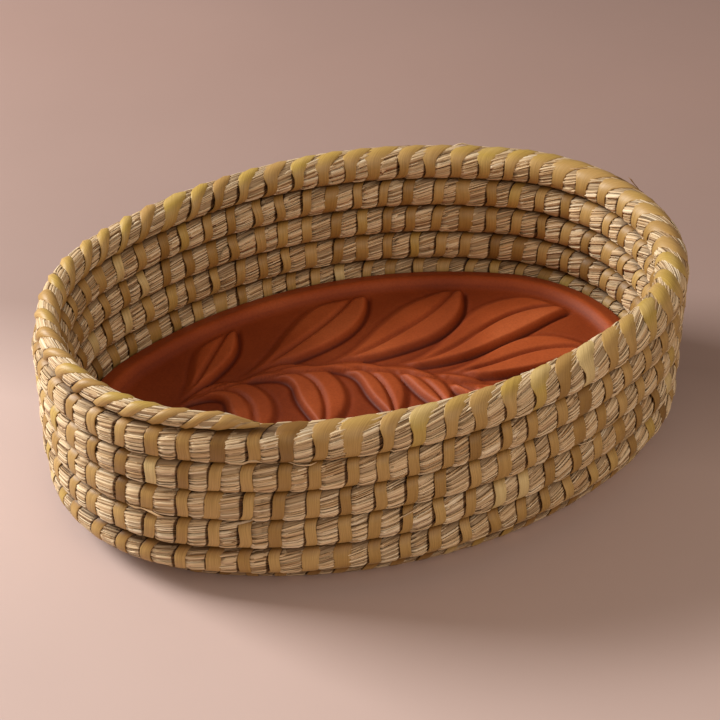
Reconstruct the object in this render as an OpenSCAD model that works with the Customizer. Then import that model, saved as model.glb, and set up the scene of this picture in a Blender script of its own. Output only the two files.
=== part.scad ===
// Bread warmer: an oval basket wound from one grass coil and sewn with leaf strips,
// with a loose clay warming tile lying on its floor.
// +X runs along the length, the plan is centred on the origin and the floor stands on z = 0.

/* [Basket] */
// Outer length of the wall over its binding, mm
basket_l = 330; // [306:1:360]
// Outer width of the wall over its binding, mm
basket_w = 224; // [208:1:242]
// Plan radius of the rounded ends over the binding, mm
end_r = 93; // [85:1:99]
// Radius of the round from floor to wall, along the middle of the coil, mm
heel_r = 16; // [14:0.5:20]
// Place where the coil ends, in turns round from +X, counter-clockwise
tail_turn = 0.645; // [0:0.005:1]

/* [Grass coil] */
// Diameter of the grass bundle in the wall, mm
coil_d = 15.5; // [13:0.1:17]
// Room between neighbouring turns for the binding, mm
coil_gap = 1.5; // [1.4:0.1:2.2]
// Thickness of the bundle where it is pressed flat in the floor, mm
floor_t = 15; // [10:0.1:15.5]
// Length over which the coil thins out to its tail, mm
tail_l = 350; // [200:5:450]
// Diameter at the tip of the tail, mm
tail_d = 6; // [4:0.1:9]
// Flat sides of the bundle
coil_sides = 8; // [8, 12]

/* [Binding] */
// Width of a leaf strip, mm
strip_w = 5.5; // [3:0.1:8]
// Thickness of a leaf strip, mm
strip_t = 0.45; // [0.3:0.05:0.5]
// Room between the grass and a strip, mm
strip_fit = 0.1; // [0.1:0.01:0.12]
// Distance between stitches along the coil, mm
stitch_step = 14.7; // [12:0.1:20]
// Shift of the stitches from one turn of the wall to the next, in stitch steps
stitch_shift = 0.1; // [-0.5:0.05:0.5]

/* [Clay tile] */
// Room between the tile's edge and the sewn wall, mm
tile_gap = 1; // [1:0.1:4]
// Room between the tile and the sewn floor, mm
tile_seat = 0.3; // [0.3:0.1:0.6]
// Thickness of the tile at its lip, mm
tile_t = 20; // [17:0.5:22]
// Thickness of the tile's field, mm
field_t = 15.5; // [11:0.5:16]
// Width of the lip from the edge to its crest, mm
lip_w = 9; // [7:0.5:12]
// Width of the slope from the crest down to the field, mm
slope_w = 6; // [4:0.5:10]
// Radius of the rounded crest, mm
crest_r = 2; // [1.5:0.1:2.5]
// Fall of the lip from its crest to the edge, mm
lip_fall = 2.6; // [1:0.1:4]
// Steps round the tile in which its lip is swept
lip_steps = 96; // [48:4:128]

/* [Leaf frond] */
// Leaves along each side of the stem
leaf_pairs = 6; // [4:1:7]
// Height of the leaves over the field, mm
leaf_h = 3; // [1.5:0.1:4]
// Width of a leaf, mm
leaf_w = 18; // [10:0.5:20]
// Width of the stem, mm
stem_w = 6; // [4:0.5:8]
// Width of the groove along a leaf, mm
vein_w = 1.6; // [1:0.1:2.5]
// Depth of the groove along a leaf, mm
vein_h = 1.5; // [0.5:0.1:1.5]
// Length of the longest leaf, mm
leaf_l = 80; // [40:1:90]
// Bow of a leaf's back edge, mm
leaf_bow = 4; // [2:0.5:6]
// Room between the leaf tips and the slope of the lip, mm
leaf_gap = 3; // [1:0.5:8]
// Angle from the stem to a leaf's tip, degrees
leaf_angle = 50; // [35:1:65]
// Half of the angle through which the stem turns, degrees
stem_turn = 36; // [15:1:45]

/* [Hidden] */
$fn = 64;
arc_steps = 10;
eps = 0.01;
courses = 6;
// The heel starts part of a turn before the first course
heel_lead = 0.25;
climb_turns = courses + heel_lead;
coil_pitch = coil_d + coil_gap;
bind = strip_fit + strip_t;
wall_half = coil_d / 2 + bind;
mid_a = basket_l / 2 - wall_half;
mid_b = basket_w / 2 - wall_half;
mid_r = end_r - wall_half;
floor_z = floor_t / 2 * cos(180 / coil_sides);
heel_step = 2 * asin(coil_pitch / (2 * heel_r));
heel_turns = 90 / heel_step;
floor_b = mid_b - heel_r;
// The floor starts as a straight run at one end of its middle line, so its turns come in halves
floor_lead = tail_turn - heel_lead;
floor_turns = floor_lead + floor(2 * (floor_b / coil_pitch - floor_lead)) / 2;
floor_pitch = floor_b / floor_turns;
// The coil runs straight from station to station, so the floor's turns need more room in the bends
chord_room = stitch_step^2 / (4 * mid_r);
thin_turns = tail_l / around(oval(0));
// Ends of the frond's stem, as shares of the basket's half length and half width
stem_from = [-0.62 * mid_a, 0.18 * mid_b];
stem_to = [0.36 * mid_a, -0.3 * mid_b];
// Shares along a leaf between which its groove runs, and along the stem where its last leaf starts
vein_from = 0.15;
vein_to = 0.88;
last_leaf = 0.95;
// Least share of a stitch step that calls for a new strip, and most of a run that a strip covers
due_share = 0.8;
cover_share = 0.9;

// A four-arc oval is [half length, half width, end radius]
function end_radius(b) = b * (1 - (1 - mid_r / mid_b) * min(1, b / (2 * coil_pitch)));
function oval(inset) = [mid_a - inset, mid_b - inset, end_radius(mid_b - inset)];
function parallel(inset) = [mid_a - inset, mid_b - inset, mid_r - inset];
function side_radius(o) = ((o[0] - o[2])^2 + o[1]^2 - o[2]^2) / (2 * max(o[1] - o[2], eps));
function join_angle(o) = atan2(side_radius(o) - o[1], o[0] - o[2]);
function end_arc(o) = o[2] * join_angle(o) * PI / 180;
function side_arc(o) = side_radius(o) * (90 - join_angle(o)) * PI / 180;
function around(o) = 4 * (end_arc(o) + side_arc(o));
function polar(centre, r, angle) = centre + r * [cos(angle), sin(angle)];
function quarter_point(o, s) = s < end_arc(o)
    ? polar([o[0] - o[2], 0], o[2], s / o[2] * 180 / PI)
    : polar([0, o[1] - side_radius(o)], side_radius(o),
        join_angle(o) + (s - end_arc(o)) / side_radius(o) * 180 / PI);
function oval_point(o, u) = let (
    q = floor(4 * u),
    s = (4 * u - q) * around(o) / 4,
    p = quarter_point(o, q % 2 == 0 ? s : around(o) / 4 - s)
) [q % 4 == 1 || q % 4 == 2 ? -p[0] : p[0], q % 4 >= 2 ? -p[1] : p[1]];

function bend(o, u) = let (s = abs(2 * u - round(2 * u)) / 2) s * around(o) < end_arc(o) ? o[2] : side_radius(o);

// The coil is followed in turns: below 0 it lies in the floor, then it climbs the heel and the wall
function inset_at(t) = t < 0 ? heel_r - floor_pitch * t : heel_r * (1 - sin(lean_at(t)));
function lean_at(t) = min(90, max(0, t * heel_step));
function rise_at(t) = floor_z + heel_r * (1 - cos(lean_at(t))) + coil_pitch * max(0, t - heel_turns);
function thinned(t) = max(0, (t - climb_turns) / thin_turns + 1) * (coil_d - tail_d) / 2;
function on_turn(t, u) = concat(oval_point(oval(inset_at(t)), u), rise_at(t));
function round_at(t) = t - climb_turns + tail_turn + 2 * courses;
function middle(t) = on_turn(t, round_at(t)) - [0, 0, thinned(t)];

// The frame across the coil: towards the next turn, through the basket's skin, along the coil
function unit(v) = v / norm(v);
function frame(along, lean) = let (
    out = unit([along[1], -along[0], 0]),
    up = cross(out, along)
) [out * cos(lean) + up * sin(lean), up * cos(lean) - out * sin(lean), along];
function heading(t) = unit(middle(min(t + eps, climb_turns)) - middle(max(t - eps, -floor_turns)));
function clear_of(a, b, along) = norm(b - a - ((b - a) * along) * along) - coil_gap;
function room(t) = let (
    u = round_at(t),
    here = on_turn(t, u),
    along = heading(t)
) min(clear_of(here, on_turn(t + 1, u), along),
    t - 1 < -floor_turns ? coil_pitch : clear_of(here, on_turn(t - 1, u), along));
function half_wide(t) = t > heel_turns + 1
    ? coil_d / 2 - thinned(t)
    : min((room(t) - (t < 0 ? chord_room : 0)) / 2, bend(oval(inset_at(t)), round_at(t)) - coil_gap / 2);
function half_thick(t) = (floor_t + (coil_d - floor_t) * lean_at(t) / 90) / 2 - thinned(t);

// Stations stand a stitch apart along the coil, and closer in the tight bends of the first turns.
// In the wall they stand nearly under each other from turn to turn
wall_stitches = round(around(oval(0)) / stitch_step);
function step_at(t) = let (o = oval(inset_at(t))) t < 0
    ? min(stitch_step, max(coil_d / 4, o[2] / 2)) / around(o)
    : 1 / (wall_stitches - stitch_shift);
function stations(from, to) = concat(
    [for (t = from; t < to - step_at(t) / 2; t = t + step_at(t)) t], [to]);
floor_at = stations(-floor_turns, 0);
wall_at = stations(0, climb_turns);
function ring(t) = let (c = middle(t), f = frame(heading(t), lean_at(t)))
    [for (k = [0.5 : coil_sides]) let (
        angle = 360 * k / coil_sides,
        p = c + f[0] * half_wide(t) * cos(angle) + f[1] * half_thick(t) * sin(angle)
    ) [p[0], p[1], max(0, p[2])]];

// Least room between neighbouring turns, measured on the points of their rings
function turn_gap(at) = let (rings = [for (t = at) ring(t)], near = 2 * step_at(0)) min([
    for (i = [0 : len(at) - 1], j = [i + 1 : len(at) - 1])
        if (abs(at[j] - at[i] - 1) < near)
            for (p = rings[i], q = rings[j]) norm(p - q)]);

module tube(at) {
    last = len(at) - 1;
    points = [for (t = at) each ring(t)];
    sides = [for (i = [0 : last - 1], k = [0 : coil_sides - 1]) let (
        a = i * coil_sides + k,
        b = i * coil_sides + (k + 1) % coil_sides
    ) each [[a, a + coil_sides, b], [b, a + coil_sides, b + coil_sides]]];
    start = [for (k = [1 : coil_sides - 2]) [0, k, k + 1]];
    base = last * coil_sides;
    tip = [for (k = [1 : coil_sides - 2]) [base, base + k + 1, base + k]];
    polyhedron(points, concat(sides, start, tip));
}

// A strip goes round the coil half way between two stations, wherever a stitch falls due
module capsule(wide, thick) {
    r = min(wide, thick);
    if (abs(wide - thick) < strip_fit) {
        circle(r = max(wide, thick));
    } else {
        for (s = [-1, 1])
            translate(wide > thick ? [s * (wide - r), 0] : [0, s * (thick - r)])
                circle(r = r);
        square(wide > thick ? 2 * [wide - r, r] : 2 * [r, thick - r], center = true);
    }
}

module strip(t0, t1) {
    a = middle(t0);
    b = middle(t1);
    f = frame(unit(b - a), (lean_at(t0) + lean_at(t1)) / 2);
    c = (a + b) / 2;
    wide = max(half_wide(t0), half_wide(t1)) + strip_fit;
    thick = max(half_thick(t0), half_thick(t1)) + strip_fit;
    difference() {
        multmatrix([for (i = [0 : 2]) [f[0][i], f[1][i], -f[2][i], c[i]]])
            linear_extrude(min(strip_w, cover_share * norm(b - a)), center = true)
                difference() {
                    capsule(wide + strip_t, thick + strip_t);
                    capsule(wide, thick);
                }
        if (c[2] < max(wide, thick) + strip_t)
            translate([c[0], c[1], -coil_d])
                cube(2 * [coil_d, coil_d, coil_d], center = true);
    }
}

// The first bends of the floor are too tight to take a strip
function sewable(t) = bend(oval(inset_at(t)), round_at(t)) > 1.5 * coil_d;

module strips(at, from, to) {
    due = due_share * stitch_step;
    runs = [for (i = [0 : len(at) - 2]) norm(middle(at[i + 1]) - middle(at[i]))];
    picked = [for (i = 0, s = 0; i < len(runs); s = s + runs[i], i = i + 1)
        if (floor((s + runs[i]) / due) > floor(s / due)) i];
    for (i = picked)
        if (at[i] >= from - eps && at[i] < to - eps && sewable(at[i]) && sewable(at[i + 1]))
            strip(at[i], at[i + 1]);
}

// The clay tile is a flat slab with its lip swept round a parallel oval
tile_z = floor_z + floor_t / 2 + bind + tile_seat;
tile_inset = wall_half + tile_gap;
foot_h = field_t / 8;
// The bevel under the edge keeps the tile clear of the heel
under = heel_r / 2;
lip_round = [for (angle = [30 : 30 : 150])
    [lip_w - crest_r * cos(angle), tile_t - crest_r + crest_r * sin(angle)]];
lip_profile = concat(
    [[under + 2 * foot_h, 2 * foot_h], [under, foot_h], [under / 3, under / 3], [0, under],
        [0, tile_t - lip_fall]],
    lip_round,
    [[lip_w + slope_w + foot_h, field_t - foot_h]]);

function outline(inset) = [for (i = [0 : lip_steps - 1]) oval_point(parallel(inset), i / lip_steps)];

module lip() {
    n = len(lip_profile);
    points = [for (i = [0 : lip_steps - 1]) for (p = lip_profile)
        concat(oval_point(parallel(tile_inset + p[0]), i / lip_steps), p[1])];
    faces = [for (i = [0 : lip_steps - 1], k = [0 : n - 1]) let (
        j = (i + 1) % lip_steps,
        m = (k + 1) % n
    ) each [[i * n + k, i * n + m, j * n + k], [i * n + m, j * n + m, j * n + k]]];
    polyhedron(points, faces);
}

// A leaf is the lune between two arcs that share its foot and its tip, bowed away from its stem
function facing(a, b) = atan2(b[1] - a[1], b[0] - a[0]);
function arc_radius(len, bow) = (len^2 / 4 + bow^2) / (2 * bow);
function arc_point(len, bow, share) = let (
    r = arc_radius(len, bow),
    angle = asin(len / (2 * r)) * (2 * share - 1)
) [len / 2 + r * sin(angle), r * cos(angle) + bow - r];

module lune(len, outer, inner) {
    polygon(concat(
        [for (i = [0 : arc_steps]) arc_point(len, outer, i / arc_steps)],
        [for (i = [arc_steps - 1 : -1 : 1]) arc_point(len, inner, i / arc_steps)]));
}

function leaf_wide(len) = min(leaf_w, len / 4);

module leaf(len) {
    lune(len, leaf_bow + leaf_wide(len), leaf_bow);
}

module vein(len) {
    mid_bow = leaf_bow + leaf_wide(len) / 2;
    from = arc_point(len, mid_bow, vein_from);
    to = arc_point(len, mid_bow, vein_to);
    bow = arc_point(len, mid_bow, (vein_from + vein_to) / 2)[1] - (from[1] + to[1]) / 2;
    translate(from)
        rotate(facing(from, to))
            lune(norm(to - from), bow + vein_w / 2, bow - vein_w / 2);
}

// The stem is one arc across the field, and each leaf reaches for the slope of the lip
leaf_field = parallel(tile_inset + lip_w + slope_w + leaf_gap);
stem_l = norm(stem_to - stem_from);
stem_r = stem_l / (2 * sin(stem_turn));
stem_bow = stem_r * (1 - cos(stem_turn));
function stem_point(share) = let (p = arc_point(stem_l, stem_bow, share), d = facing(stem_from, stem_to))
    stem_from + [p[0] * cos(d) - p[1] * sin(d), p[0] * sin(d) + p[1] * cos(d)];
function stem_heading(share) = facing(stem_from, stem_to) + stem_turn * (1 - 2 * share);
function past(o, p) = let (x = abs(p[0]), y = abs(p[1]), c = o[0] - o[2], r = side_radius(o))
    atan2(y, x - c) < join_angle(o) ? norm([x - c, y]) - o[2] : norm([x, y + r - o[1]]) - r;
function reach(p, angle, len) = len >= leaf_l || past(leaf_field, polar(p, len, angle)) > 0
    ? len : reach(p, angle, len + 1);

module on_stem() {
    for (i = [1 : leaf_pairs], side = [-1, 1]) {
        share = (i + side / 6) / (leaf_pairs + 1);
        foot = stem_point(share);
        angle = stem_heading(share) + side * leaf_angle;
        $leaf = reach(foot, angle, leaf_w);
        translate(foot)
            rotate(angle)
                mirror([0, side > 0 ? 1 : 0, 0])
                    children();
    }
    foot = stem_point(last_leaf);
    $leaf = reach(foot, stem_heading(last_leaf), leaf_w);
    translate(foot)
        rotate(stem_heading(last_leaf))
            children();
}

module frond() {
    difference() {
        translate([0, 0, field_t - foot_h])
            linear_extrude(leaf_h + foot_h) {
                translate(stem_from)
                    rotate(facing(stem_from, stem_to))
                        lune(stem_l, stem_bow + stem_w / 2, stem_bow - stem_w / 2);
                on_stem()
                    leaf($leaf);
            }
        translate([0, 0, field_t + leaf_h - vein_h])
            linear_extrude(leaf_h)
                on_stem()
                    vein($leaf);
    }
}

warming_tile_colour = "#a85c38";
grass_colour = "#c9b184";
strip_colour = "#a58a48";

module floor_coil() {
    color(grass_colour)
        tube(floor_at);
}

module wall_coil() {
    color(grass_colour)
        tube(wall_at);
}

module floor_stitches() {
    color(strip_colour)
        strips(floor_at, -floor_turns, 0);
}

module course_stitches(n) {
    color(strip_colour)
        strips(wall_at, n == 1 ? 0 : n - 1 + heel_lead, n + heel_lead);
}

module warming_tile() {
    color(warming_tile_colour)
        translate([0, 0, tile_z]) {
            lip();
            linear_extrude(field_t)
                polygon(outline(tile_inset + under));
            frond();
        }
}

// Node to draw
echo(least_gap_between_turns_mm = turn_gap(concat(floor_at, wall_at)));
floor_coil();
wall_coil();
floor_stitches();
course_stitches(1);  // course_1_stitches
course_stitches(2);  // course_2_stitches
course_stitches(3);  // course_3_stitches
course_stitches(4);  // course_4_stitches
course_stitches(5);  // course_5_stitches
course_stitches(6);  // course_6_stitches
warming_tile();
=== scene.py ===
import math

import bpy
import numpy as np
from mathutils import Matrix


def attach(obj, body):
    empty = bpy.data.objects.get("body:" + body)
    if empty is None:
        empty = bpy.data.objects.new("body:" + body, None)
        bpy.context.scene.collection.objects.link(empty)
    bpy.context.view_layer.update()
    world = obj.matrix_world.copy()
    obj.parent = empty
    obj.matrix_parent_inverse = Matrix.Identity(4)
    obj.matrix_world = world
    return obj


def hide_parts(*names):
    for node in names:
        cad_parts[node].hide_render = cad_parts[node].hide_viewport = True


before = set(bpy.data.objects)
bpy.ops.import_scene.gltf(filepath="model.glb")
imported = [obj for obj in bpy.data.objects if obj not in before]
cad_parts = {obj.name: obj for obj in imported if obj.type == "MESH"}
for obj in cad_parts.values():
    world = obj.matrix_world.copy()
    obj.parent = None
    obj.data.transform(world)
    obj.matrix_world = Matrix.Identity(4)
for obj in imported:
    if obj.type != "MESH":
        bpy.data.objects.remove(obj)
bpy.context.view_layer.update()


# Floor coil. Dry grass is gathered into one bundle, laid straight along the middle of the
# floor and wound round it as a flat oval spiral. The same bundle then goes on up the wall.
# All lengths of the winding are in mm, and t counts its turns: below 0 lies in the floor.
MM = 0.001
basket_l, basket_w, end_r, heel_r, tail_turn = 330.0, 224.0, 93.0, 16.0, 0.645
coil_d, coil_gap, floor_t, tail_l, tail_d = 15.5, 1.5, 15.0, 350.0, 6.0
strip_t, strip_fit, stitch_step, stitch_shift = 0.45, 0.1, 14.7, 0.1
coil_sides, courses, heel_lead = 8, 6, 0.25
climb_turns = courses + heel_lead
coil_pitch = coil_d + coil_gap
bind = strip_fit + strip_t
wall_half = coil_d / 2 + bind
mid_a, mid_b, mid_r = basket_l / 2 - wall_half, basket_w / 2 - wall_half, end_r - wall_half
floor_z = floor_t / 2 * math.cos(math.pi / coil_sides)
heel_step = 2 * math.asin(coil_pitch / (2 * heel_r))
heel_turns = math.pi / 2 / heel_step
floor_b = mid_b - heel_r
floor_lead = tail_turn - heel_lead
floor_turns = floor_lead + math.floor(2 * (floor_b / coil_pitch - floor_lead)) / 2
floor_pitch = floor_b / floor_turns
chord_room = stitch_step ** 2 / (4 * mid_r)
chance = np.random.default_rng(7)


def oval_sizes(inset, end_radius):
    a, b = mid_a - inset, mid_b - inset
    r = np.maximum(end_radius(b), 1e-6)
    side = ((a - r) ** 2 + b ** 2 - r ** 2) / (2 * np.maximum(b - r, 0.01))
    join = np.arctan2(side - b, a - r)
    return a, b, r, side, join, r * join + side * (math.pi / 2 - join)


def coil_end_radius(b):
    return b * (1 - (1 - mid_r / mid_b) * np.minimum(1, b / (2 * coil_pitch)))


def oval_point(inset, turn, end_radius=coil_end_radius):
    a, b, r, side, join, quarter = oval_sizes(inset, end_radius)
    q = np.floor(4 * turn)
    s = (4 * turn - q) * quarter
    s = np.where(q % 2 == 1, quarter - s, s)
    past = join + (s - r * join) / side
    x = np.where(s < r * join, a - r + r * np.cos(s / r), side * np.cos(past))
    y = np.where(s < r * join, r * np.sin(s / r), b - side + side * np.sin(past))
    return np.where((q % 4 == 1) | (q % 4 == 2), -x, x), np.where(q % 4 >= 2, -y, y)


def around(inset):
    return 4 * oval_sizes(inset, coil_end_radius)[5]


thin_turns = tail_l / around(0.0)


def lean_at(t):
    return np.clip(t * heel_step, 0, math.pi / 2)


def inset_at(t):
    return np.where(t < 0, heel_r - floor_pitch * t, heel_r * (1 - np.sin(lean_at(t))))


def eased(v):
    v = np.clip(v, 0, 1)
    return v * v * (3 - 2 * v)


def thinned(t):
    # How much is lost from the bundle's half width along the tail, and once more at its very tip
    tip_turns, tip_loss = 0.02, 2.0
    tip = tip_loss * eased((t - climb_turns + tip_turns) / tip_turns)
    return np.maximum(0, (t - climb_turns) / thin_turns + 1) * (coil_d - tail_d) / 2 + tip


def round_at(t):
    return t - climb_turns + tail_turn + 2 * courses


def on_turn(t, turn):
    x, y = oval_point(inset_at(t), turn)
    z = floor_z + heel_r * (1 - np.cos(lean_at(t))) + coil_pitch * np.maximum(0, t - heel_turns)
    return np.stack([x, y, z], -1)


def middle(t):
    p = on_turn(t, round_at(t))
    p[..., 2] -= thinned(t)
    return p


def unit(v):
    return v / np.linalg.norm(v, axis=-1, keepdims=True)


# The coil's middle line is followed in steps of about 1 mm, with the frame across it
turns = np.linspace(-floor_turns, climb_turns, 9001)
line = middle(turns)
run = np.concatenate([[0], np.cumsum(np.linalg.norm(np.diff(line, axis=0), axis=1))])
nudge = 0.01
along = unit(middle(np.minimum(turns + nudge, climb_turns)) - middle(np.maximum(turns - nudge, -floor_turns)))
out = unit(np.stack([along[:, 1], -along[:, 0], np.zeros(len(along))], -1))
up = np.cross(out, along)
lean = lean_at(turns)[:, None]
stack = out * np.cos(lean) + up * np.sin(lean)
skin = up * np.cos(lean) - out * np.sin(lean)


def clear_of(other):
    gap = other - line
    return np.linalg.norm(gap - (gap * along).sum(1)[:, None] * along, axis=1) - coil_gap


here = round_at(turns)
room_after = clear_of(on_turn(turns + 1, here))
room_before = clear_of(on_turn(np.maximum(turns - 1, -floor_turns), here))
room = np.minimum(room_after, np.where(turns - 1 < -floor_turns, coil_pitch, room_before))
squeezed = np.clip((room - chord_room * (turns < 0)) / 2, tail_d / 2, coil_d / 2 + 0.5)
half_wide = np.where(turns > heel_turns + 1, coil_d / 2 - thinned(turns), squeezed)
half_thick = (floor_t + (coil_d - floor_t) * lean_at(turns) / (math.pi / 2)) / 2 - thinned(turns)
# Its start is doubled over, and fills the middle of the floor
lead, doubled_l, doubled_half = 8.0, 30.0, 6.5
half_wide = np.maximum(half_wide, doubled_half * (run < doubled_l))
# The bundle is twisted as it is wound, more at the right end of the basket than at the left
twist = 0.031 + 0.022 * np.cos(2 * math.pi * (here - 0.95))
turned = np.concatenate([[0], np.cumsum(twist[1:] * np.diff(run))])
WAY = np.column_stack([line, stack, skin, half_wide, half_thick, turned])
WIDE, THICK, TURNED = 9, 10, 11


def way(s):
    w = np.stack([np.interp(s, run, column) for column in WAY.T], -1)
    w[..., 0:3] += np.minimum(s, 0)[..., None] * along[0]
    return w


def run_at(t):
    return float(np.interp(t, turns, run))


# A stitch lies half way between two stations, as in the solids
wall_stitches = round(float(around(0.0)) / stitch_step)


def step_at(t):
    if t >= 0:
        return 1 / (wall_stitches - stitch_shift)
    inset = inset_at(np.array(t))
    r = float(oval_sizes(inset, coil_end_radius)[2])
    return min(stitch_step, max(coil_d / 4, r / 2)) / float(around(inset))


def stations(start, stop):
    at = [start]
    while at[-1] + step_at(at[-1]) < stop - step_at(at[-1] + step_at(at[-1])) / 2:
        at.append(at[-1] + step_at(at[-1]))
    return np.array(at + [stop])


def sewable(t):
    a, b, r, side, join, quarter = oval_sizes(inset_at(t), coil_end_radius)
    u = round_at(t)
    s = np.abs(2 * u - np.round(2 * u)) / 2
    least_bend = 1.5 * coil_d
    return np.where(s * 4 * quarter < r * join, r, side) > least_bend


def stitches(at):
    least_step = 0.8 * stitch_step
    spans = np.linalg.norm(np.diff(middle(at), axis=0), axis=1)
    ends = np.cumsum(spans) / least_step
    due = np.floor(ends) > np.floor(ends - spans / least_step)
    keep = due & sewable(at[:-1]) & sewable(at[1:])
    return ((at[:-1] + at[1:]) / 2)[keep]


floor_sewn = stitches(stations(-floor_turns, 0.0))
wall_sewn = stitches(stations(0.0, float(climb_turns)))
sewn_at = np.interp(np.concatenate([floor_sewn, wall_sewn]), turns, run)
hand_slip = 1.2
sewn_at = sewn_at + chance.uniform(-hand_slip, hand_slip, len(sewn_at))

# Going round the bundle, 0 is towards the next turn, a quarter is the inside and three quarters the
# outside. A strip goes straight up the outside, leans over the top and comes down half a step on
rim_from = run_at(climb_turns - 1)
tail_from = run_at(climb_turns - thin_turns)


def leaned(angle, s):
    up = np.degrees((angle - math.pi) % (2 * math.pi))
    rim, tail = eased((s - rim_from) / 60), eased((s - tail_from) / 120)
    over = (0.5 + 0.2 * rim) * (1 - tail) * eased((up - 125) / 110) + 1.15 * tail * eased((up - 30) / 300)
    return stitch_step * (np.interp(up, [0, 70, 290, 360], [-0.2, 0, 0, 0.2]) + over)


def off_stitch(s, angle, shift=0.0):
    p = s - leaned(angle, s) - shift * np.sin(angle)
    i = np.clip(np.searchsorted(sewn_at, p), 1, len(sewn_at) - 1)
    return np.minimum(np.abs(p - sewn_at[i - 1]), np.abs(p - sewn_at[i]))


def swell(s, angle):
    # The grass is pinched under each strip and bulges between two of them
    return -0.45 + 1.05 * eased((off_stitch(s, angle) - 2.4) / 1.7)


def strip_shadow_at(s, angle):
    # Painted shadow: a dark line in the grass along each strip's left-hand edge, as seen from inside or from outside
    return off_stitch(s, angle, 0.7) / 10


def pressed(angle, s):
    # Neighbouring turns touch along the top and the underside, but nothing lies on the rim. The mask lifts the core
    # there, and paints shade on the grass and strips where the turns meet
    bare = 0.75 * (np.cos(angle) > 0) * eased((s - rim_from) / 30)
    return eased((np.abs(np.cos(angle)) - 0.7) / 0.27) * (1 - bare)


def squared(angle, s):
    # Packed between its neighbours in the wall, the bundle is squarer than a circle, most of all
    # outside. Along the top of the rim it stays round
    corner, inner_share = 2.85, 0.3
    c, d = np.cos(angle), np.sin(angle)
    packed = eased((s - run_at(heel_turns)) / 200) * (1 - (c > 0) * eased((s - rim_from) / 60))
    packed = packed * np.where(d > 0, inner_share, 1.0)
    return 1 + packed * ((np.abs(c) ** corner + np.abs(d) ** corner) ** (-1 / corner) - 1)


def lay(s, angle, lift, low, give):
    # What would reach under the low level is pressed flat there by the table
    w = way(s)
    lift = lift * np.minimum(1, w[..., WIDE] / (coil_d / 2))
    square = squared(angle, s)
    p = w[..., 0:3] + w[..., 3:6] * ((w[..., WIDE] + lift) * square * np.cos(angle))[..., None]
    p = p + w[..., 6:9] * ((w[..., THICK] + lift) * square * np.sin(angle))[..., None]
    p[..., 2] += (give - 1) * np.minimum(p[..., 2] - low, 0)
    return p


def drawn_out(section, steps, tip=None):
    """A straight length along X, from 0 to 1: its section is extruded step by step and closed."""
    bpy.ops.object.select_all(action="DESELECT")
    bpy.ops.mesh.primitive_circle_add(vertices=len(section), radius=1)
    o = bpy.context.object
    for v, (y, z) in zip(o.data.vertices, section):
        v.co = (0, y, z)
    bpy.ops.object.mode_set(mode="EDIT")
    bpy.ops.mesh.select_all(action="SELECT")
    for _ in range(steps):
        bpy.ops.mesh.extrude_region_move(TRANSFORM_OT_translate={"value": (1 / steps, 0, 0)})
    bpy.ops.mesh.select_all(action="SELECT")
    bpy.ops.mesh.fill_holes(sides=0)
    bpy.ops.mesh.normals_make_consistent(inside=False)
    bpy.ops.object.mode_set(mode="OBJECT")
    co = np.array([v.co for v in o.data.vertices])
    if tip is not None:
        ends = np.minimum(co[:, 0], 1 - co[:, 0]) < 0.5 / steps
        co[ends, 1:] *= tip
    corners = [np.array(f.vertices) for f in o.data.polygons]
    bpy.data.objects.remove(o, do_unlink=True)
    return co, corners


def copies(name, model, points, marks):
    """One mesh of many laid copies of a model: the vertices of each in mm, and marks with a value for each."""
    co, corners = model
    n = len(points)
    sizes = np.array([len(c) for c in corners])
    loops = np.concatenate(corners)
    loops = (loops[None] + (np.arange(n) * len(co))[:, None]).ravel()
    mesh = bpy.data.meshes.new(name)
    mesh.vertices.add(n * len(co))
    mesh.vertices.foreach_set("co", (points * MM).astype(np.float32).ravel())
    mesh.loops.add(len(loops))
    mesh.loops.foreach_set("vertex_index", loops.astype(np.int32))
    mesh.polygons.add(n * len(sizes))
    starts = np.concatenate([[0], np.cumsum(np.tile(sizes, n))[:-1]])
    mesh.polygons.foreach_set("loop_start", starts.astype(np.int32))
    mesh.polygons.foreach_set("use_smooth", np.ones(n * len(sizes), dtype=bool))
    for mark, values in marks.items():
        kind = "FLOAT_VECTOR" if values.ndim == 3 else "FLOAT"
        a = mesh.attributes.new(mark, kind, "POINT")
        a.data.foreach_set("vector" if values.ndim == 3 else "value", values.astype(np.float32).ravel())
    mesh.update(calc_edges=True)
    mesh.validate()
    o = bpy.data.objects.new(name, mesh)
    bpy.context.collection.objects.link(o)
    return o


def new_finish(name, roughness, specular):
    m = bpy.data.materials.new(name)
    m.use_nodes = True
    tree = m.node_tree
    shader = tree.nodes["Principled BSDF"]
    shader.inputs["Roughness"].default_value = roughness
    shader.inputs["Specular IOR Level"].default_value = specular
    return m, tree, shader


def node(tree, kind, **settings):
    n = tree.nodes.new(kind)
    for key, value in settings.items():
        if key in n.inputs:
            n.inputs[key].default_value = value
        else:
            setattr(n, key, value)
    return n


def ramp(tree, source, stops):
    n = tree.nodes.new("ShaderNodeValToRGB")
    while len(n.color_ramp.elements) < len(stops):
        n.color_ramp.elements.new(0.5)
    for e, (place, colour) in zip(n.color_ramp.elements, stops):
        e.position = place
        e.color = (*colour, 1)
    tree.links.new(source, n.inputs["Fac"])
    return n.outputs["Color"]


def srgb(r, g, b):
    return tuple((c / 255 / 12.92) if c <= 10 else ((c / 255 + 0.055) / 1.055) ** 2.4 for c in (r, g, b))


def tinted(tree, colour, *tints):
    for tint in tints:
        n = node(tree, "ShaderNodeMix", data_type="RGBA", blend_type="MULTIPLY", Factor=1.0)
        a, b = (i for i in n.inputs if i.type == "RGBA")
        tree.links.new(colour, a)
        tree.links.new(tint, b)
        colour = next(x for x in n.outputs if x.type == "RGBA")
    return colour


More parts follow.
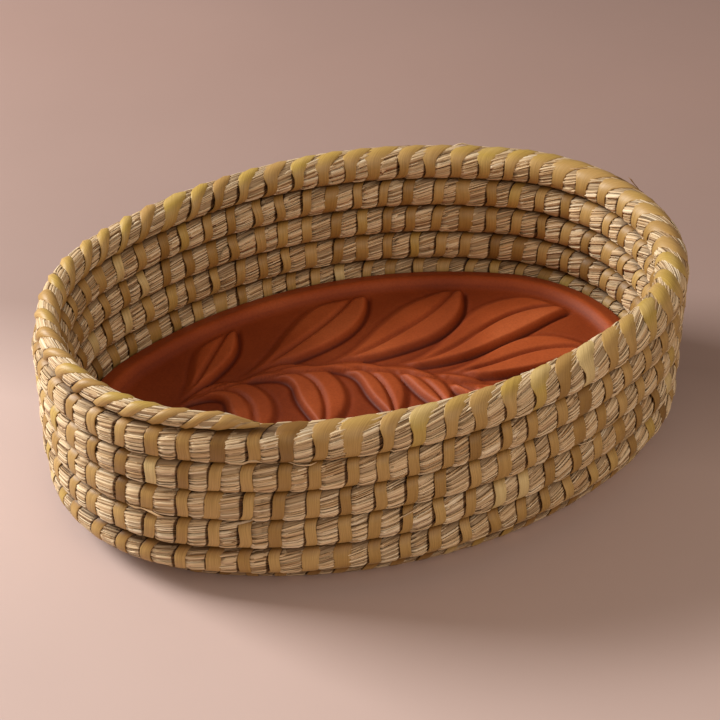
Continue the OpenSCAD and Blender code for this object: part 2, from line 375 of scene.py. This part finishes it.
def stretched(tree, vector, scale, detail):
    # Fine lines along a piece: a noise drawn out in the direction of its own attribute
    m = node(tree, "ShaderNodeMapping", Scale=scale)
    tree.links.new(vector, m.inputs["Vector"])
    n = node(tree, "ShaderNodeTexNoise", Scale=1.0, Detail=detail)
    tree.links.new(m.outputs["Vector"], n.inputs["Vector"])
    return n.outputs["Fac"]


def roughened(tree, shader, height, strength, distance):
    bump = node(tree, "ShaderNodeBump", Strength=strength, Distance=distance)
    tree.links.new(height, bump.inputs["Height"])
    tree.links.new(bump.outputs["Normal"], shader.inputs["Normal"])


def mark_of(tree, name, output="Fac"):
    return node(tree, "ShaderNodeAttribute", attribute_name=name).outputs[output]


def grass_finish():
    m, tree, shader = new_finish("dry_grass", 0.58, 0.22)
    base = ramp(tree, mark_of(tree, "tone"), [
        (0.0, srgb(158, 121, 80)), (0.22, srgb(203, 169, 126)), (0.6, srgb(229, 203, 164)), (1.0, srgb(245, 229, 200))])
    streak = stretched(tree, mark_of(tree, "lie", "Vector"), (0.035, 1.7, 7.0), 3.0)
    lines = ramp(tree, streak, [
        (0.34, (0.26, 0.18, 0.11)), (0.42, (0.78, 0.72, 0.64)), (0.55, (1.0, 1.0, 1.0)), (0.72, (1.14, 1.12, 1.08))])
    # Painted shade: grass is darkened where it lies low and where neighbouring turns touch
    recess_shade = ramp(tree, mark_of(tree, "painted_shade"), [(0.0, (1, 1, 1)), (1.0, (0.12, 0.075, 0.04))])
    # Painted shadow: a dark line in the grass beside each strip
    strip_shadow_tint = ramp(tree, mark_of(tree, "sewn"), [
        (0.0, (0.1, 0.06, 0.03)), (0.27, (0.2, 0.13, 0.07)), (0.32, (1, 1, 1))])
    tree.links.new(tinted(tree, base, lines, recess_shade, strip_shadow_tint), shader.inputs["Base Color"])
    roughened(tree, shader, streak, 0.6, 0.0004)
    return m


blade_l, broad_share, loose_share = 150.0, 0.09, 0.03
BLADE = [(-0.5, 0.0), (0.0, 1.0), (0.5, 0.0)]
wall_blade = drawn_out(BLADE, 64, 0.15)
floor_blade = drawn_out(BLADE, 40, 0.15)


def grass(name, model, s_from, s_to, crowd, top):
    """Blades of grass laid along the bundle from s_from to s_to, over its whole round."""
    n = int(crowd * math.pi * coil_d * (s_to - s_from) / blade_l)
    length = blade_l * chance.uniform(0.65, 1.3, n)
    start = chance.uniform(s_from, s_to, n) - length / 2
    start = np.clip(start, -lead, run[-1] - length - chance.uniform(0, 30, n))
    broad = chance.random(n) < broad_share
    width = np.where(broad, chance.uniform(2.6, 5.2, n), chance.uniform(0.6, 1.6, n))
    turn = 2 * math.pi * ((np.arange(n) * 0.618034 + chance.uniform(-0.02, 0.02, n)) % 1)
    base = np.where(broad, chance.uniform(-0.05, 0.15, n), chance.uniform(-0.3, 0.12, n))
    tone = np.clip(chance.normal(0.56, 0.2, n), 0, 1)
    wave, phase, sway = chance.uniform(0.6, 1.6, n), chance.uniform(0, 6.3, n), chance.uniform(0.01, 0.06, n)
    # Along the blade from 0 to 1, across it and up from it, for each vertex of the model
    u, v, h = model[0].T
    s = start[:, None] + length[:, None] * u
    at = way(s)
    a = turn[:, None] + at[..., TURNED] - way(start + length / 2)[:, None, TURNED]
    a = a + sway[:, None] * np.sin(2 * math.pi * wave[:, None] * u + phase[:, None])
    a = a + width[:, None] * v / np.maximum(at[..., WIDE], tail_d / 2)
    rise = np.where(broad, 0.28, 0.42)[:, None] * h
    lift = np.minimum(base[:, None] + swell(s, a) + rise - 0.1, top)
    # A few blades have worked loose on the outside
    loose = ((chance.random(n) < loose_share * (top > 1)) & ~broad)[:, None] * chance.uniform(1, 4, n)[:, None]
    loose = loose * eased((u - 0.88) / 0.12) * np.clip(-2 * np.sin(a), 0, 1)
    lift = lift + loose
    # Painted shade: blades that sink below the swell of the bundle, and blades where neighbouring turns touch, are
    # marked to be darkened
    painted_shade = np.clip(0.6 * np.clip((0.05 - lift) / 0.8, 0, 1) + 0.75 * pressed(a, s), 0, 1)
    own = np.broadcast_to(np.arange(n)[:, None] * 0.37, s.shape)
    lie = np.stack([s, width[:, None] * v, own], -1)
    tone = np.broadcast_to(tone[:, None], s.shape).copy()
    # Painted shadow beside each strip, left off the blades that have worked loose
    sewn = np.where(loose > 0.2, 1.0, strip_shadow_at(s, a))
    laid = lay(s, a, lift, grass_low, grass_give)
    return copies(name, model, laid, {"tone": tone, "painted_shade": painted_shade, "lie": lie, "sewn": sewn})


def core(name, s_from, s_to, top):
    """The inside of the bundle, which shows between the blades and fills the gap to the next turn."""
    facets, step = 20, 2.6
    circle = np.linspace(0, 2 * math.pi, facets + 1)[:-1]
    model = drawn_out([(-math.cos(a), math.sin(a)) for a in circle], int((s_to - s_from) / step))
    u, v, h = model[0].T
    s = (s_from + (s_to - s_from) * u)[None]
    a = np.arctan2(h, v)[None]
    lift = np.minimum(swell(s, a) - 0.3 + 0.75 * pressed(a, s), top)
    # Painted shade: the core is darkened throughout, more where it sinks below the blades and where neighbouring turns
    # touch
    painted_shade = np.clip(0.38 + 0.4 * np.clip(-lift / 0.8, 0, 1) + 0.6 * pressed(a, s), 0, 1)
    lie = np.stack([s, coil_d / 2 * (a - way(s)[..., TURNED]), np.zeros_like(s)], -1)
    laid = lay(s, a, lift, grass_low, grass_give)
    return copies(name, model, laid, {"tone": np.full_like(s, 0.5), "painted_shade": painted_shade, "lie": lie, "sewn": strip_shadow_at(s, a)})


def joined(name, *parts):
    bpy.ops.object.select_all(action="DESELECT")
    for p in parts:
        p.select_set(True)
    bpy.context.view_layer.objects.active = parts[0]
    bpy.ops.object.join()
    o = bpy.context.object
    o.name = o.data.name = name
    return o


def fixed(o, finish, body, slot, *nodes):
    o.data.materials.clear()
    o.data.materials.append(finish)
    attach(o, body)
    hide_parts(*nodes)


dry_grass = grass_finish()
grass_low, grass_give = 0.6, 0.15
floor_top, wall_top = 0.4, 1.2
foot = run_at(0.0)
blades = grass("floor_blades", floor_blade, 0.0, foot, 0.7, floor_top)
packed = core("floor_core", -lead, foot, floor_top)
fixed(joined("floor_grass", blades, packed), dry_grass, "basket", "grass", "floor_coil")


# Floor stitches. Each is a strip of palm leaf taken once round the bundle and pulled tight
# through the turn beside it, so its ends are hidden in the gap. It is flat under the floor.
def strip_finish():
    m, tree, shader = new_finish("leaf_strip", 0.46, 0.4)
    base = ramp(tree, mark_of(tree, "tone"), [
        (0.0, srgb(140, 104, 53)), (0.3, srgb(175, 137, 77)), (0.6, srgb(195, 159, 100)),
        (0.8, srgb(196, 166, 84)), (1.0, srgb(220, 195, 140))])
    veins = stretched(tree, mark_of(tree, "lie", "Vector"), (0.06, 2.4, 5.0), 4.0)
    lines = ramp(tree, veins, [(0.3, (0.76, 0.72, 0.64)), (0.68, (1.06, 1.06, 1.04))])
    # Painted shade: strips are darkened on their side skirts and where neighbouring turns touch
    groove_and_edge_shade = ramp(tree, mark_of(tree, "edge"), [
        (0.0, (1, 1, 1)), (0.5, (0.7, 0.6, 0.46)), (1.0, (0.22, 0.15, 0.08))])
    tree.links.new(tinted(tree, base, lines, groove_and_edge_shade), shader.inputs["Base Color"])
    roughened(tree, shader, veins, 0.3, 0.0003)
    return m


strip_w = 5.5
# The two lowest points of the section make a skirt down each side of a strip, sunk into the grass and painted dark as
# shade
STRIP = [(-0.52, -0.6), (-0.5, 0.85), (-0.44, 1.0), (0.0, 1.1), (0.44, 1.0), (0.5, 0.85), (0.52, -0.6)]
strip_model = drawn_out(STRIP, 20)


def strips(name, s0, broad, tones):
    """A strip round the bundle at each of the given places along it."""
    n = len(s0)
    u, v, h = strip_model[0].T
    width = strip_w * np.where(chance.random(n) < 0.1, chance.uniform(1.15, 1.45, n), chance.uniform(0.82, 1.06, n))
    tone = np.where(chance.random(n) < 0.05, 1.0, np.clip(chance.normal(tones, 0.16, n), 0, 0.74))
    skew, bow = chance.uniform(-0.9, 0.9, n), chance.uniform(-0.6, 0.6, n)
    s0, width, tone, skew, bow = (q[:, None] for q in (s0, width, tone, skew, bow))
    # Round from under the bundle, up the outside, over the top and down the inside
    a = math.pi + 2 * math.pi * u[None]
    top = np.clip(np.cos(a), 0, 1) ** 3
    tail, last = eased((s0 - tail_from) / 150), eased((s0 - run[-1] + 40) / 30)
    across = width * (1 + broad * top * (1 - 0.6 * tail) + 0.1 * tail + 0.6 * last) * v
    s = s0 + leaned(a, s0) + across + skew * np.cos(a) + bow * np.cos(2 * a)
    # The strip's own ends overlap in the gap under the bundle
    s = np.where(u > 0.99, s0 + leaned(a - 0.01, s0) + across, s)
    # On the rim each strip lies over the edge of the one before it, on the tail it is drawn together
    lift = strip_fit + strip_t * h + 0.3 * broad * top * (0.5 - v)
    crown = 1.7 * tail + 0.6 * broad * top * (1 - tail)
    lift = lift + crown * (1 - (2 * v) ** 2) * (h > 0)
    laid = lay(np.clip(s, 0, run[-1]), a, lift, strip_t * (1 - np.clip(h, 0, 1)), 0.0)
    own = np.broadcast_to(np.arange(n)[:, None] * 0.61, s.shape)
    lie = np.stack([np.broadcast_to(60 * u, s.shape), across, own], -1)
    # Painted shade on the side skirts and where neighbouring turns touch
    edge = np.maximum(h < 0, 0.85 * pressed(a, s0))
    shade = np.clip(tone + 0.22 * (broad > 0.5) * top, 0, 1)
    return copies(name, strip_model, laid, {"tone": shade, "lie": lie, "edge": edge})


leaf_strip = strip_finish()
floor_strips = strips("floor_strips", sewn_at[:len(floor_sewn)], 0.0, 0.42)
fixed(floor_strips, leaf_strip, "basket", "leaf_strip", "floor_stitches")


# Wall coil. The bundle rounds the heel and climbs six turns to the rim, where it thins out and
# ends at the front left. Each course is the grass of one turn, lying on the course below.
course_ends = [0.0] + [n + heel_lead for n in range(1, courses + 1)]
for n in range(1, courses + 1):
    s_from, s_to = run_at(course_ends[n - 1]), run_at(course_ends[n])
    top = floor_top if n == 1 else wall_top
    blades = grass(f"course_{n}_blades", wall_blade, s_from, s_to, 1.3, top)
    packed = core(f"course_{n}_core", s_from, s_to, top)
    fixed(joined(f"course_{n}_grass", blades, packed), dry_grass, "basket", "grass", "wall_coil")


# Course stitches. The same leaf strips bind each course to the one below, about 15 mm apart and
# nearly under each other. On the rim they lie open to view, broad and slanting over the top.
for n in range(1, courses + 1):
    at = sewn_at[len(floor_sewn):][(wall_sewn >= course_ends[n - 1]) & (wall_sewn < course_ends[n])]
    rim = n == courses
    bound = strips(f"course_{n}_strips", at, 1.35 if rim else 0.15, 0.48 if rim else 0.42)
    fixed(bound, leaf_strip, "basket", "leaf_strip", f"course_{n}_stitches")


# Warming tile. A loose oval plate of red clay, pressed in a mould: a broad lip, a field and a
# frond of leaves in relief. It is heated in the oven and laid on the floor under the bread.
tile_gap, tile_seat, tile_t, field_t = 1.0, 0.3, 20.0, 15.5
lip_w, slope_w, under = 9.0, 6.0, heel_r / 2
tile_z = floor_z + floor_t / 2 + bind + tile_seat
tile_inset = wall_half + tile_gap
tile_b = mid_b - tile_inset
cell = 0.78


def tile_end_radius(b):
    return b - (mid_b - mid_r) * np.minimum(1, b / 40.0)


rings = round(tile_b / cell)
across_n = 2 * rings
along_n = across_n + round(2 * (mid_a - mid_b) / cell)
bpy.ops.object.select_all(action="DESELECT")
bpy.ops.mesh.primitive_grid_add(x_subdivisions=along_n, y_subdivisions=across_n, size=2)
tile = bpy.context.object
tile.name = tile.data.name = "clay_tile"
g = np.empty(len(tile.data.vertices) * 3, dtype=np.float32)
tile.data.vertices.foreach_get("co", g)
g = g.reshape(-1, 3).astype(float)
gx, gy = np.round(g[:, 0] * along_n / 2, 3), np.round(g[:, 1] * across_n / 2, 3)
# Each square ring of the grid becomes an oval, parallel to the tile's edge
k = np.minimum(along_n / 2 - np.abs(gx), across_n / 2 - np.abs(gy))
big, small = along_n / 2 - k, across_n / 2 - k
place = np.where(np.isclose(gx, big), gy, np.where(np.isclose(gy, small), small + big - gx, np.where(
    np.isclose(gx, -big), 2 * small + 2 * big - gy, 3 * small + 3 * big + gx)))
share = (place / np.maximum(4 * (big + small), 1e-9)) % 1
inset = k * tile_b / rings
x, y = oval_point(tile_inset + inset, share, tile_end_radius)


# The frond's stem is one arc across the field. Upper leaves sway forward, lower ones hook down
stem_from, stem_to = np.array([-0.65 * mid_a, 0.17 * mid_b]), np.array([0.33 * mid_a, -0.2 * mid_b])
stem_turn = math.radians(38)
stem_l = np.linalg.norm(stem_to - stem_from)
stem_way = math.atan2(*(stem_to - stem_from)[::-1])
stem_r = stem_l / (2 * math.sin(stem_turn))
leaf_h, trench_h, trench_w = 3.2, 1.5, 2.8


def stem_heading(v):
    return stem_way + stem_turn * (1 - 2 * v)


def stem_point(v):
    a = stem_heading(v) + math.pi / 2
    first = stem_heading(0) + math.pi / 2
    return stem_from + stem_r * np.stack([np.cos(a) - np.cos(first), np.sin(a) - np.sin(first)], -1)


def walk(start, headings, length):
    step = length / (len(headings) - 1)
    mids = (headings[1:] + headings[:-1]) / 2
    return start + np.concatenate([[[0, 0]], np.cumsum(step * np.stack([np.cos(mids), np.sin(mids)], -1), 0)])


field = inset > lip_w + slope_w - 2
spots = np.column_stack([x, y])[field]
relief = np.zeros(len(spots))
trail = np.linspace(0, 1, 161)
leaf_shape = np.maximum(0.12 * (trail < 0.5), np.sin(math.pi * trail ** 1.5) * (1 - trail ** 7))


def leaf(start, headings, length, half, soft, deep, groove):
    """A leaf along a bent middle line: soft on its left, a trench along its right, a groove down the middle."""
    points = walk(start, headings, length)
    reach = half + 4
    near = (spots > points.min(0) - reach).all(1) & (spots < points.max(0) + reach).all(1)
    p, old = spots[near], relief[near]
    tangent = unit(np.gradient(points, axis=0))
    i = ((p[:, None] - points[None]) ** 2).sum(-1).argmin(1)
    off = p - points[i]
    side = tangent[i, 0] * off[:, 1] - tangent[i, 1] * off[:, 0]
    v = trail[i] + (off * tangent[i]).sum(1) / length
    w = np.maximum(half * np.interp(v, trail, leaf_shape), 0.05)
    low = -deep * eased(v / 0.15) * eased((1 - v) / 0.08)
    crest = leaf_h * (0.6 + 0.4 * eased(v / 0.3)) * (0.8 - 0.2 * side / w) * eased((w - side) / soft)
    groove_and_edge_shade = groove * np.exp(-(side / 1.1) ** 2) * eased((v - 0.12) / 0.2) * eased((0.97 - v) / 0.1)
    body = low + (crest - low) * eased((side + w) / trench_w) - groove_and_edge_shade
    body = np.maximum(body, old) if deep == 0 else old + (body - old) * eased(v / 0.14)
    past = np.abs(side) - w
    fade = eased(past / trench_w)
    low = np.where(side > 0, 0.4 * low, low)
    trench = np.minimum(old, low * (1 - fade) + old * fade)
    within = (v > 0) & (v < 1)
    relief[near] = np.where(within & (past < 0), body, np.where(within & (past < trench_w), trench, old))


# Leaves are carved from the tip of the frond to its foot, each over the one before it. A row gives
# the place on the stem, the angle off it, the headings half way and at the end, length and half width
above = ((0.80, 10, 8, -34, 108, 15.5), (0.66, 10, 26, -28, 142, 17.5), (0.47, 10, 22, 46, 124, 17.5),
         (0.22, 10, 30, 48, 124, 16.5), (0.03, 16, 52, 50, 84, 11.5))
below = ((0.74, -4, -52, -60, 72, 8.5), (0.60, -3, -74, -96, 78, 9), (0.44, -3, -84, -112, 88, 11),
         (0.22, -3, -88, -124, 98, 14), (0.02, -4, -84, -130, 86, 13))
for rows, soft, groove, straight in ((above, 5.0, 2.5, 0.0), (below, 3.0, 2.5, 0.16)):
    for v, first, swing, last, length, half in rows:
        h0 = stem_heading(v) + math.radians(first)
        bend = h0 + (math.radians(swing) - h0) * eased((trail - straight) / 0.45)
        bend = bend + math.radians(last - swing) * eased((trail - 0.45) / 0.55)
        leaf(stem_point(v), bend, length, half, soft, trench_h, groove)
leaf(stem_point(0.9), stem_heading(0.9) + 0.2 * eased(trail), 64, 9, 4.0, trench_h, 1.6)
leaf(stem_from, stem_heading(trail), stem_r * 2 * stem_turn, 2.6, 2.4, 0.0, 0.0)
relief *= eased((inset[field] - lip_w - slope_w - 1) / 5)

# The lip's section, from the tile's edge inwards
lip_at = np.array([0, 0.6, 2.0, 5.0, 7.4, 8.6, 9.6, 10.8, 12.6, 14.4, 16.0, 18.0])
lip_up = np.array([16.9, 17.5, 17.9, 18.8, 19.75, 20.0, 19.95, 19.4, 17.6, 16.1, 15.55, 15.5])
z = np.interp(inset, lip_at, lip_up)
# The raised mark follows height: the grooves and field get painted shade, and the crests are lighter, partly as wear
# and partly as a painted highlight
raised = 0.32 + 0.5 * np.clip((z - field_t) / (tile_t - field_t), 0, 1)
z[field] += relief
raised[field] = (relief + trench_h) / (leaf_h + trench_h)
tile.data.vertices.foreach_set("co", (np.column_stack([x, y, z + tile_z]) * MM).astype(np.float32).ravel())
mark = tile.data.attributes.new("raised", "FLOAT", "POINT")
mark.data.foreach_set("value", raised.astype(np.float32))
bpy.ops.object.mode_set(mode="EDIT")
bpy.ops.mesh.select_all(action="SELECT")
bpy.ops.mesh.vertices_smooth(factor=0.45, repeat=4)
# The open edge is drawn down the side and round the foot, and closed by one flat face
far = (mid_a - tile_inset, mid_b - tile_inset)
for height, inward in ((under, 0.0), (under / 3, under / 3), (field_t / 8, under), (0.0, under + 0.4)):
    bpy.ops.mesh.select_all(action="DESELECT")
    bpy.ops.mesh.select_non_manifold()
    bpy.ops.mesh.extrude_region_move(TRANSFORM_OT_translate={"value": (0, 0, 0)})
    bpy.ops.object.mode_set(mode="OBJECT")
    ring = [v for v in tile.data.vertices if v.select]
    flat = np.array([v.co[:2] for v in ring]) / MM
    for v, p in zip(ring, flat):
        norm = np.array([p[0] / far[0] ** 2, p[1] / far[1] ** 2])
        v.co = (*((p - inward * norm / np.linalg.norm(norm)) * MM), (tile_z + height) * MM)
    bpy.ops.object.mode_set(mode="EDIT")
bpy.ops.mesh.select_all(action="DESELECT")
bpy.ops.mesh.select_non_manifold()
bpy.ops.mesh.edge_face_add()
bpy.ops.mesh.select_all(action="SELECT")
bpy.ops.mesh.normals_make_consistent(inside=False)
bpy.ops.object.mode_set(mode="OBJECT")
bpy.ops.object.shade_smooth_by_angle(angle=math.radians(50))


def clay_finish():
    m, tree, shader = new_finish("red_clay", 0.57, 0.24)
    where = node(tree, "ShaderNodeTexCoord")
    cloud = node(tree, "ShaderNodeTexNoise", Scale=22.0, Detail=5.0)
    grain = node(tree, "ShaderNodeTexNoise", Scale=900.0, Detail=3.0)
    for n in (cloud, grain):
        tree.links.new(where.outputs["Object"], n.inputs["Vector"])
    base = ramp(tree, cloud.outputs["Fac"], [
        (0.3, srgb(140, 60, 24)), (0.55, srgb(161, 74, 33)), (0.75, srgb(174, 86, 43))])
    # Painted shade in the grooves and low field; the crests are lighter and paler, partly wear and partly painted
    # highlight
    wear_and_painted_light = ramp(tree, mark_of(tree, "raised"), [
        (0.0, (0.3, 0.17, 0.1)), (0.18, (0.6, 0.46, 0.34)), (0.34, (0.78, 0.69, 0.6)),
        (0.8, (1.1, 1.1, 1.1)), (1.0, (1.3, 1.45, 1.7))])
    speck = ramp(tree, grain.outputs["Fac"], [(0.35, (0.9, 0.87, 0.85)), (0.6, (1.03, 1.03, 1.03))])
    tree.links.new(tinted(tree, base, wear_and_painted_light, speck), shader.inputs["Base Color"])
    roughened(tree, shader, grain.outputs["Fac"], 0.12, 0.0004)
    return m


fixed(tile, clay_finish(), "tile", "terracotta", "warming_tile")


# Stage. A pale plaster table, one soft lamp at the back left, a wide fill from the front, and
# the camera at the photograph's angle.
bpy.ops.object.select_all(action="DESELECT")
bpy.ops.mesh.primitive_plane_add(size=8)
table = bpy.context.object
table.name = "table"
plaster, tree, shader = new_finish("plaster", 0.75, 0.25)
where = node(tree, "ShaderNodeTexCoord")
cloud = node(tree, "ShaderNodeTexNoise", Scale=3.0, Detail=6.0)
tree.links.new(where.outputs["Object"], cloud.inputs["Vector"])
slant = node(tree, "ShaderNodeVectorMath", operation="DOT_PRODUCT")
slant.inputs[1].default_value = (0.6, 1.0, 0.0)
tree.links.new(where.outputs["Object"], slant.inputs[0])
# Painted light: the plaster is brightest at the front left and darker towards the back and right, painted as a lamp's
# falloff
plaster_and_falloff = ramp(tree, slant.outputs["Value"], [
    (0.0, srgb(200, 176, 168)), (0.1, srgb(164, 140, 132)), (0.45, srgb(159, 132, 123)), (0.8, srgb(152, 127, 119))])
clouded = ramp(tree, cloud.outputs["Fac"], [(0.3, (0.95, 0.95, 0.95)), (0.7, (1.05, 1.05, 1.05))])
tree.links.new(tinted(tree, plaster_and_falloff, clouded), shader.inputs["Base Color"])
table.data.materials.append(plaster)


def lamp(name, place, size, power, colour):
    data = bpy.data.lights.new(name, "AREA")
    data.size, data.energy, data.color = size, power, colour
    o = bpy.data.objects.new(name, data)
    bpy.context.collection.objects.link(o)
    o.location = place
    # Turned towards the middle of the basket
    d = np.array((0.0, 0.0, 0.05)) - np.array(place)
    o.rotation_euler = (math.atan2(math.hypot(d[0], d[1]), -d[2]), 0, math.atan2(d[0], -d[1]) + math.pi)


lamp("key", (-1.0, 0.76, 0.86), 0.6, 31.5, (1.0, 0.995, 0.975))
lamp("fill", (0.2, -1.6, 1.3), 1.6, 13, (1.0, 0.84, 0.69))
world = bpy.data.worlds.new("studio")
bpy.context.scene.world = world
world.use_nodes = True
sky = world.node_tree.nodes["Background"]
sky.inputs["Color"].default_value = (1.0, 0.86, 0.74, 1)
sky.inputs["Strength"].default_value = 0.28

azimuth, elevation, distance = math.radians(-21.3), math.radians(37.2), 1.0
aim = np.array([-0.0030, 0.0016, 0.0490])
lens = bpy.data.cameras.new("camera")
lens.lens, lens.sensor_width = 99.4, 36
camera = bpy.data.objects.new("camera", lens)
bpy.context.collection.objects.link(camera)
level = math.cos(elevation)
camera.location = aim + distance * np.array([
    math.sin(azimuth) * level, -math.cos(azimuth) * level, math.sin(elevation)])
camera.rotation_euler = (math.pi / 2 - elevation, 0, azimuth)
bpy.context.scene.camera = camera
bpy.context.scene.view_settings.view_transform = "Standard"
